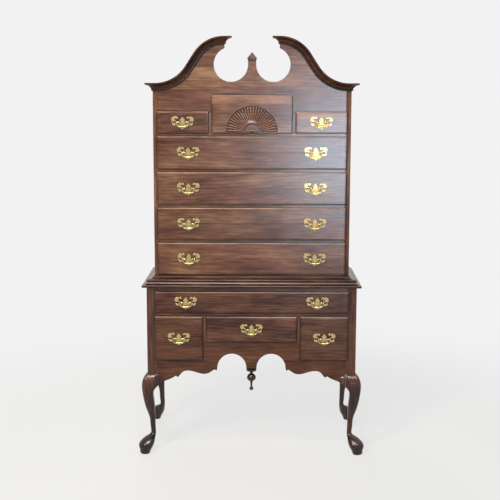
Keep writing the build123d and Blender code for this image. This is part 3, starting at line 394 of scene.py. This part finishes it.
def lacquered_wood(name, dark, middle, light, roughness, gloss=0.3, contrast=1.0):
    """Stained wood under lacquer: the colours run from the darkest streak to the palest."""
    material, tree, shader = new_material(name)
    patterns = wood_patterns(tree)
    stained = stain(tree, patterns, dark, middle, light, contrast)
    # base colour: the stain times the pores and the painted corner shade
    colour = add(tree, "ShaderNodeMix", {0: 1.0, 6: stained, 7: pores_and_painted_corner_shade(tree, patterns)},
                 data_type="RGBA", blend_type="MULTIPLY")
    tree.links.new(colour.outputs[2], shader.inputs["Base Color"])
    shader.inputs["Specular IOR Level"].default_value = gloss
    sheen = add(tree, "ShaderNodeMapRange", {0: patterns["figure"], 3: roughness + SHEEN_RANGE[0],
                                             4: roughness + SHEEN_RANGE[1]})
    tree.links.new(sheen.outputs[0], shader.inputs["Roughness"])
    relief = weighted_sum(tree, [(patterns[part], weight) for part, weight in GRAIN_RELIEF.items()])
    bump = add(tree, "ShaderNodeBump", {"Height": relief, "Strength": GRAIN_STRENGTH,
                                        "Distance": GRAIN_RELIEF_MM / 1000})
    tree.links.new(bump.outputs[0], shader.inputs["Normal"])
    return material


finishes = {
    # Mahogany, stained dark and lacquered: deep red-brown with a satin shine
    "case_wood": lacquered_wood("stained_mahogany_case", "#371809", "#633E2B", "#926B4F", 0.22),
    "drawer_wood": lacquered_wood("stained_mahogany_drawers", "#38190A", "#6A442F", "#9C7153", 0.22),
    # The same wood on the legs, under more coats: darker, with brighter highlights
    "leg_wood": lacquered_wood("stained_mahogany_legs", "#240F08", "#623723", "#8C5C3C", 0.2, gloss=0.45),
    # Poplar, planed and left bare: pale, dull and plain
    "inner_wood": lacquered_wood("planed_poplar", "#8A6A45", "#B08C60", "#CBAA7C", 0.62, contrast=0.7),
}
print("woods:", [material.name for material in finishes.values()])

# %% [markdown]
# ## The brass
# The pulls are cast brass, polished and lacquered. Polished metal is nearly all reflection, so its colour
# sits in the base colour with metallic at 1, and small changes of roughness and a faint tarnish keep it from
# looking like plastic. The ring pull is older-looking: its brass was darkened on purpose.

# %% Brass materials
CASTING_MM = 9                 # soft waves that the mould leaves
TARNISH_MM = 16
SCRATCH_MM = 1.2
GRIME_MM = 16                  # polish leaves dark grime this far from a corner
CLOUD_WEIGHT = 0.6             # of the tarnish's clouds, against the open share of a place
TARNISH_RANGE = (-0.7, -0.1)   # of the clouds less the open share
SCRATCH_RANGE = (-0.06, 0.1)   # change of roughness with the scratches
CASTING_WEIGHT = 0.8           # in the relief, as is the next one
SCRATCH_WEIGHT = 0.1
BRASS_RELIEF_MM = 0.6
BRASS_STRENGTH = 0.2


def brass(name, bright, tarnished, roughness, tarnish):
    """Cast brass: tarnish is the share of the surface that has gone dull."""
    material, tree, shader = new_material(name)
    place = add(tree, "ShaderNodeTexCoord").outputs["Object"]
    clouds = add(tree, "ShaderNodeTexNoise", {"Vector": place, "Scale": per_metre(TARNISH_MM),
                                              "Detail": 4.0})
    scratches = add(tree, "ShaderNodeTexNoise", {"Vector": place, "Scale": per_metre(SCRATCH_MM),
                                                 "Detail": 2.0})
    waves = add(tree, "ShaderNodeTexNoise", {"Vector": place, "Scale": per_metre(CASTING_MM),
                                             "Detail": 1.0})
    open_share = add(tree, "ShaderNodeAmbientOcclusion", {"Distance": GRIME_MM / 1000},
                     samples=CORNER_SAMPLES)
    worn = weighted_sum(tree, [(clouds.outputs["Fac"], CLOUD_WEIGHT), (open_share.outputs["AO"], -1.0)])
    dull = add(tree, "ShaderNodeMapRange", {0: worn, 1: TARNISH_RANGE[0], 2: TARNISH_RANGE[1],
                                            3: 0.0, 4: tarnish})
    colour = add(tree, "ShaderNodeMix", {0: dull.outputs[0], 6: linear(bright), 7: linear(tarnished)},
                 data_type="RGBA")
    tree.links.new(colour.outputs[2], shader.inputs["Base Color"])
    shader.inputs["Metallic"].default_value = 1.0
    rough = add(tree, "ShaderNodeMapRange", {0: scratches.outputs["Fac"], 3: roughness + SCRATCH_RANGE[0],
                                             4: roughness + SCRATCH_RANGE[1]})
    tree.links.new(rough.outputs[0], shader.inputs["Roughness"])
    relief = weighted_sum(tree, [(waves.outputs["Fac"], CASTING_WEIGHT),
                                 (scratches.outputs["Fac"], SCRATCH_WEIGHT)])
    bump = add(tree, "ShaderNodeBump", {"Height": relief, "Strength": BRASS_STRENGTH,
                                        "Distance": BRASS_RELIEF_MM / 1000})
    tree.links.new(bump.outputs[0], shader.inputs["Normal"])
    return material


# Polished brass: bright and yellow, with brown grime in its corners
finishes["brass"] = brass("polished_cast_brass", "#C6AF7C", "#54442A", 0.18, 0.9)
# Antiqued brass: brown and half dull
finishes["dark_brass"] = brass("antiqued_cast_brass", "#6E604C", "#2C241A", 0.34, 0.85)
print("metals:", finishes["brass"].name, finishes["dark_brass"].name)

# %% [markdown]
# ## Find the boards
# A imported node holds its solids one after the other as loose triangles. A solid is closed once each of its
# edges was met in both directions, so the list of triangles can be cut wherever no edge is left open. Each
# solid is then copied with its doubles merged, because smooth shading and a Bevel need connected faces.

# %% Split a node into solids and copy them
MERGE = 1e-5                   # vertices this near to each other are one


def spot_key(spot):
    """The same key for all vertices at one spot."""
    return tuple(round(c / MERGE) for c in spot)


def closed_solids(mesh):
    """The mesh's triangles in groups, one for each closed solid."""
    keys = [spot_key(vertex.co) for vertex in mesh.vertices]
    groups = []
    group = []
    open_edges = set()
    for polygon in mesh.polygons:
        loop = [keys[index] for index in polygon.vertices]
        group.append(polygon)
        for start, end in zip(loop, loop[1:] + loop[:1]):
            if (end, start) in open_edges:
                open_edges.remove((end, start))
            else:
                open_edges.add((start, end))
        if not open_edges:
            groups.append(group)
            group = []
    return groups + ([group] if group else [])


def copy_solid(work, source, solid):
    """Add a solid's triangles to the working mesh, merged, and give the new vertices."""
    placed = {}
    for polygon in solid:
        spots = [source.vertices[index].co for index in polygon.vertices]
        for spot in spots:
            if spot_key(spot) not in placed:
                placed[spot_key(spot)] = work.verts.new(spot)
        triangle = [placed[spot_key(spot)] for spot in spots]
        if len(set(triangle)) == 3:
            work.faces.new(triangle)
    return list(placed.values())


print("solids of the legs:", len(closed_solids(frame["nodes"]["cabriole_legs"].data)))

# %% [markdown]
# ## The carved fan
# The ribs of the fan stand up from a sunk floor. Their crests are painted paler as a highlight and their
# grooves darker as shade, and the painted corner shade is lifted from the crests, which makes the carving
# readable. The height of a vertex on its rib follows from how deep it lies and how far it is from the fan's
# centre, because the ribs swell outwards.

# %% Height on the fan's ribs
FAN_RIBS = (0.0475, 0.1165)    # distance from the fan's centre where the ribs start and end
FAN_RISE = 0.007               # the fan's centre over the drawer's lower edge
FAN_FLOOR = 0.008              # depth of the carved floor
FAN_SKIN = 0.001               # a rib lies deeper than this, and its groove may be this much below the floor
RIB_SWELL = 0.055              # a rib's height over its distance from the fan's centre

fan_low, fan_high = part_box("fan_front")
fan_hub = Vector(((fan_low.x + fan_high.x) / 2, fan_low.y, fan_low.z + FAN_RISE))


def rib_height(spot):
    """How far up a rib of the fan a vertex lies: 0 in the groove, 1 on the crest, None off the ribs."""
    reach = math.hypot(spot.x - fan_hub.x, spot.z - fan_hub.z)
    depth = spot.y - fan_hub.y
    if not FAN_RIBS[0] < reach < FAN_RIBS[1] or not FAN_SKIN < depth < FAN_FLOOR + FAN_SKIN:
        return None
    return min(max((FAN_FLOOR - depth) / (RIB_SWELL * reach), 0.0), 1.0)


print("centre of the fan:", [round(c, 4) for c in fan_hub])

# %% [markdown]
# ## Grain and tone for each board
# A chest is sawn from many boards, and no two show the same figure. The attribute "grain" takes a board's
# coordinates with X along its longest side, tilted and shifted by a fixed random cut from the log. The
# attribute "tone" gives each board its own shade of stain: the mouldings and the cap of the plinth are
# darker than the boards. It also carries painted shade: the lower case is darker than the upper one, and the
# legs grow darker towards the floor.

# %% Shades of the boards
TONE_SPREAD = 0.35             # from board to board
WAIST_HEIGHT = 0.84            # top of the waist moulding
# painted shade over the whole lower case
LOWER_CASE_PAINTED_SHADE = -0.75
CAP_FOOT = 1.8                 # a solid of the pediment that starts above this height is the plinth's cap
CAP_TONE = -1.6
POST_FOOT = 0.44               # below this height the legs grow darker, as painted shade
LEG_FADE = 0.15
LEG_PAINTED_SHADE = -0.8
FOOT_TOP = 0.055               # below this height the feet grow darker still, as painted shade
FOOT_FADE = 0.03
FOOT_PAINTED_SHADE = -2.0
RIB_PAINTED_SHADE_AND_HIGHLIGHT = (-1.2, 0.9)         # painted shade in the groove and painted highlight on the crest
RIB_SHADE_LIFTED = (0.1, 0.75)       # share of the painted corner shade that is lifted, in the groove and on the crest
NODE_TONE = {
    "crown_moulding": -1.8, "waist_moulding": -0.3, "drawer_rails": 0.3, "turned_drop": -1.0,
    "small_left_front": -0.9, "long_1_front": -0.5, "long_2_front": -0.3, "long_4_front": -0.3,
    "lower_left_front": 0.5,
}


def below(top, reach, height):
    """A share that grows from 0 at the top height to 1 at one reach below it."""
    return min(max((top - height) / reach, 0.0), 1.0)


def between(ends, share):
    """The value at this share of the way from the first end to the second."""
    return ends[0] + share * (ends[1] - ends[0])


print("nodes with a tone of their own:", len(NODE_TONE))

# %% Grain, tone and lifted corner shade of one board
CUT_TILT = 2.5                 # degrees between a board and its log's axis
LOG_LENGTH = 3.0               # boards come from this much of the log, each way
LOG_REACH = 0.22               # from the log's axis to a board


def log_shift(cut, length):
    """A random place in the log."""
    return Vector([cut.uniform(-reach, reach) for reach in (length, LOG_REACH, LOG_REACH)])


def give_grain(node, board, cut, grain, tone, corner_shade_lifted):
    """Set the three attributes of a board's vertices, with its random cut from the log."""
    low = Vector([min(vertex.co[axis] for vertex in board) for axis in range(3)])
    high = Vector([max(vertex.co[axis] for vertex in board) for axis in range(3)])
    longest_first = sorted(range(3), key=lambda axis: low[axis] - high[axis])
    turn = Euler([math.radians(cut.uniform(-CUT_TILT, CUT_TILT)) for _ in range(3)])
    shift = log_shift(cut, LOG_LENGTH)
    shade = cut.uniform(-TONE_SPREAD, TONE_SPREAD) + NODE_TONE.get(node, 0.0)
    # the lower case gets painted shade
    if (low.z + high.z) / 2 < WAIST_HEIGHT:
        shade += LOWER_CASE_PAINTED_SHADE
    if low.z > CAP_FOOT and node == "pediment_board":
        shade += CAP_TONE
    for vertex in board:
        offset = vertex.co - (low + high) / 2
        along = Vector([offset[axis] for axis in longest_first])
        along.rotate(turn)
        vertex[grain] = along + shift
        vertex[tone] = shade
        # painted shade on the legs and feet, darker towards the floor
        if slot_of[node] == "leg_wood":
            vertex[tone] += LEG_PAINTED_SHADE * below(POST_FOOT, LEG_FADE, vertex.co.z)
            vertex[tone] += FOOT_PAINTED_SHADE * below(FOOT_TOP, FOOT_FADE, vertex.co.z)
        # fan ribs: painted highlight on the crests, painted shade in the grooves
        height = rib_height(vertex.co) if node == "fan_front" else None
        if height is not None:
            vertex[tone] += between(RIB_PAINTED_SHADE_AND_HIGHLIGHT, height)
            vertex[corner_shade_lifted] = between(RIB_SHADE_LIFTED, height)


print("largest tilt of a board against the axis of its log:", CUT_TILT, "degrees, about each axis")

# %% [markdown]
# ## Painted top edges and glue lines
# The top edge of each drawer is painted paler, a painted highlight where light from above would catch it,
# and the painted corner shade is lifted there. Wide boards are glued up from strips, so the pediment and the
# fan drawer show a line where the figure changes.
# Both need an edge in the mesh at a given height. Bisect cuts one without changing the shape, and along a
# glue line the two sides are parted, so that each strip keeps its own figure up to the line.

# %% Level cuts through a board
TOP_HIGHLIGHT_DEPTH = 0.0052             # depth of the painted highlight below a drawer's top edge
TOP_EDGE_PAINTED_HIGHLIGHT = 1.5
TOP_EDGE_SHADE_LIFTED = 0.8
STRIP_LENGTH = 1.0             # strips of one board come from this much of the log, each way
# Glue lines from the lowest up: height and the change of tone above it
GLUE_LINES = {"pediment_board": [(1.706, 0.6), (1.806, -0.6)], "fan_front": [(1.642, 0.6)]}


def cut_level(work, height):
    """Cut the faces along a level line and give the edges of the cut."""
    everything = work.verts[:] + work.edges[:] + work.faces[:]
    line = bmesh.ops.bisect_plane(work, geom=everything, plane_co=(0, 0, height), plane_no=(0, 0, 1))
    return [part for part in line["geom_cut"] if isinstance(part, bmesh.types.BMEdge)]


def paint_top_edge_highlight(work, tone, corner_shade_lifted):
    """Paint a highlight on the topmost edge of a drawer front, and lift its painted corner shade."""
    rim = max(vertex.co.z for vertex in work.verts) - TOP_HIGHLIGHT_DEPTH
    cut_level(work, rim)
    for vertex in work.verts:
        if vertex.co.z > rim + MERGE:
            vertex[tone] += TOP_EDGE_PAINTED_HIGHLIGHT
            vertex[corner_shade_lifted] = TOP_EDGE_SHADE_LIFTED


def part_strips(work, lines, cut, grain, tone):
    """Part a board along its glue lines and give what lies above each line its own figure and tone."""
    for height, change in lines:
        bmesh.ops.split_edges(work, edges=cut_level(work, height))
        shift = log_shift(cut, STRIP_LENGTH)
        above = [face for face in work.faces if face.calc_center_median().z > height]
        for vertex in {vertex for face in above for vertex in face.verts}:
            vertex[grain] += shift
            vertex[tone] += change


print("glue lines:", {node: len(lines) for node, lines in GLUE_LINES.items()})

# %% [markdown]
# ## Broken edges
# A joiner takes the sharp edge off each board with sandpaper, and the thin line of light on it tells the
# eye how the wood was worked. A narrow Bevel does the same. Round and carved pieces and the bare boards
# go without it.

# %% Break the edges of a piece
SHARP_ANGLE = math.radians(32)
EDGE_STEPS = 2
EDGE_MM = {"case_wood": 0.8, "drawer_wood": 0.5, "brass": 0.35}
NO_EDGE = {"fan_front", "turned_drop"}


def break_edges(piece, node):
    """Round the sharp edges of a piece a little."""
    if slot_of[node] not in EDGE_MM or node in NO_EDGE or node.endswith("_bail"):
        return
    edge = piece.modifiers.new("broken_edges", "BEVEL")
    edge.width = EDGE_MM[slot_of[node]] / 1000
    edge.segments = EDGE_STEPS
    edge.limit_method = "ANGLE"
    edge.angle_limit = SHARP_ANGLE
    edge.use_clamp_overlap = False
    edge.harden_normals = True


print("edges in millimetres:", EDGE_MM)

# %% [markdown]
# ## Dress every node
# Each node gets one dressed copy, which rides on the node's body and stands in for it. The triangles of a
# flat face are joined first, so that the Bevel has clean edges to follow. The light of the window is linked
# to the drawer fronts, the rails and the pediment, so that the brass keeps its yellow and the mouldings
# stay dark.

# %% One dressed copy
FLAT_ANGLE = math.radians(0.2)


def dressed_copy(node):
    """A smooth, merged copy of a node with a grain for each of its boards, and the number of its solids."""
    source = frame["nodes"][node].data
    cut = random.Random(node)
    work = bmesh.new()
    grain = work.verts.layers.float_vector.new("grain")
    tone = work.verts.layers.float.new("tone")
    corner_shade_lifted = work.verts.layers.float.new("corner_shade_lifted")
    solids = closed_solids(source)
    for solid in solids:
        board = copy_solid(work, source, solid)
        give_grain(node, board, cut, grain, tone, corner_shade_lifted)
    bmesh.ops.dissolve_limit(work, angle_limit=FLAT_ANGLE, verts=work.verts, edges=work.edges)
    # painted highlight along the top edge of each drawer front
    if slot_of[node] == "drawer_wood":
        paint_top_edge_highlight(work, tone, corner_shade_lifted)
    part_strips(work, GLUE_LINES.get(node, []), cut, grain, tone)
    mesh = bpy.data.meshes.new(node + "_finish")
    work.to_mesh(mesh)
    work.free()
    mesh.shade_smooth()
    mesh.set_sharp_from_angle(angle=SHARP_ANGLE)
    mesh.materials.append(finishes[slot_of[node]])
    piece = bpy.data.objects.new(node + "_finish", mesh)
    scene.collection.objects.link(piece)
    break_edges(piece, node)
    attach(piece, body_of[node])
    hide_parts(node)
    return piece, len(solids)


print("faces that lean by less than", round(math.degrees(FLAT_ANGLE), 2), "degrees are joined")

# %% Dress the whole chest
WINDOW_SHOWS = {"pediment_board", "drawer_rails"}      # besides every drawer front

window_boards = bpy.data.collections.new("window_boards")
for node in sorted(frame["nodes"]):
    piece, solid_count = dressed_copy(node)
    if slot_of[node] == "drawer_wood" or node in WINDOW_SHOWS:
        window_boards.objects.link(piece)
    print(node, "solids:", solid_count, "faces:", len(piece.data.polygons))
bpy.data.objects["window"].light_linking.receiver_collection = window_boards

# %% [markdown]
# ## Iron
# The back boards are held by forged nails. Forging leaves a dark skin on iron, and damp adds brown spots.
# Noise at the size of those spots mixes the two colours, and the same noise makes the rust rougher.

# %% Iron for the nails
IRON = "#3A3532"
RUST = "#5A4538"
RUST_MM = 2.0
IRON_ROUGHNESS = (0.45, 0.7)   # of the dark skin and of the rust

# Blackened iron: nearly black and half dull, with a brown cast
iron, tree, shader = new_material("blackened_iron")
shader.inputs["Metallic"].default_value = 1.0
place = add(tree, "ShaderNodeTexCoord").outputs["Object"]
rust = add(tree, "ShaderNodeTexNoise", {"Vector": place, "Scale": per_metre(RUST_MM), "Detail": 3.0})
colour = add(tree, "ShaderNodeMix", {0: rust.outputs["Fac"], 6: linear(IRON), 7: linear(RUST)},
             data_type="RGBA")
tree.links.new(colour.outputs[2], shader.inputs["Base Color"])
rough = add(tree, "ShaderNodeMapRange", {0: rust.outputs["Fac"], 3: IRON_ROUGHNESS[0], 4: IRON_ROUGHNESS[1]})
tree.links.new(rough.outputs[0], shader.inputs["Roughness"])
print("nails of", iron.name)

# %% [markdown]
# ## Nails in the back
# The back boards are nailed to the case near each end. Nail heads repeat along two columns, so Geometry
# Nodes place them: one vertex marks each nail, and the tree puts a small domed head there. Its sizes are
# named inputs, so all heads change together. The result is made a plain mesh, because the export drops
# instances.

# %% Tree for nail heads
HEAD_SEGMENTS = 12
HEAD_RINGS = 6


def nail_tree():
    """Geometry Nodes: a flat domed head on every vertex, facing +Y."""
    nails = bpy.data.node_groups.new("nail_heads", "GeometryNodeTree")
    nails.interface.new_socket("Geometry", in_out="INPUT", socket_type="NodeSocketGeometry")
    nails.interface.new_socket("Head Radius", in_out="INPUT", socket_type="NodeSocketFloat")
    nails.interface.new_socket("Head Rise", in_out="INPUT", socket_type="NodeSocketFloat")
    nails.interface.new_socket("Geometry", in_out="OUTPUT", socket_type="NodeSocketGeometry")
    given = add(nails, "NodeGroupInput")
    radius = given.outputs["Head Radius"]
    rise = given.outputs["Head Rise"]
    ball = add(nails, "GeometryNodeMeshUVSphere",
               {"Segments": HEAD_SEGMENTS, "Rings": HEAD_RINGS, "Radius": 1.0})
    flat = add(nails, "ShaderNodeCombineXYZ", {"X": radius, "Y": rise, "Z": radius})
    head = add(nails, "GeometryNodeTransform", {"Geometry": ball.outputs[0], "Scale": flat.outputs[0]})
    points = add(nails, "GeometryNodeMeshToPoints", {"Mesh": given.outputs["Geometry"]})
    placed = add(nails, "GeometryNodeInstanceOnPoints",
                 {"Points": points.outputs[0], "Instance": head.outputs[0]})
    real = add(nails, "GeometryNodeRealizeInstances", {0: placed.outputs[0]})
    smooth = add(nails, "GeometryNodeSetShadeSmooth", {0: real.outputs[0]})
    painted = add(nails, "GeometryNodeSetMaterial", {"Geometry": smooth.outputs[0], "Material": iron})
    add(nails, "NodeGroupOutput", {"Geometry": painted.outputs[0]})
    return nails


print("faces of a nail head:", HEAD_SEGMENTS * HEAD_RINGS)

# %% Nail heads on the back boards
NAIL_HEAD_MM = 7
NAIL_RISE_MM = 1.0
NAIL_INSET_MM = 14
NAIL_ROWS = (0.22, 0.78)       # shares of a board's height

boards = frame["nodes"]["back_boards"].data
back_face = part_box("back_boards")[1].y
nail_points = []
for solid in closed_solids(boards):
    spots = [boards.vertices[index].co for polygon in solid for index in polygon.vertices]
    column = max(spot.x for spot in spots) - NAIL_INSET_MM / 1000
    bottom = min(spot.z for spot in spots)
    top = max(spot.z for spot in spots)
    for side in (-1, 1):
        for share in NAIL_ROWS:
            nail_points.append((side * column, back_face, between((bottom, top), share)))

marks = bpy.data.meshes.new("nail_marks")
marks.from_pydata(nail_points, [], [])
nail_object = bpy.data.objects.new("back_nails", marks)
scene.collection.objects.link(nail_object)
nail_maker = nail_object.modifiers.new("nail_heads", "NODES")
nail_maker.node_group = nail_tree()
sizes = {"Head Radius": NAIL_HEAD_MM / 2 / 1000, "Head Rise": NAIL_RISE_MM / 1000}
for item in nail_maker.node_group.interface.items_tree:
    if item.in_out == "INPUT" and item.name in sizes:
        nail_maker[item.identifier] = sizes[item.name]
bpy.context.view_layer.update()
made = nail_object.evaluated_get(bpy.context.evaluated_depsgraph_get())
nail_mesh = bpy.data.meshes.new_from_object(made)
nail_object.modifiers.remove(nail_maker)
nail_object.data = nail_mesh
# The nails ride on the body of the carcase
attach(nail_object, "carcase")
print("nails:", len(nail_points), "faces:", len(nail_mesh.polygons))
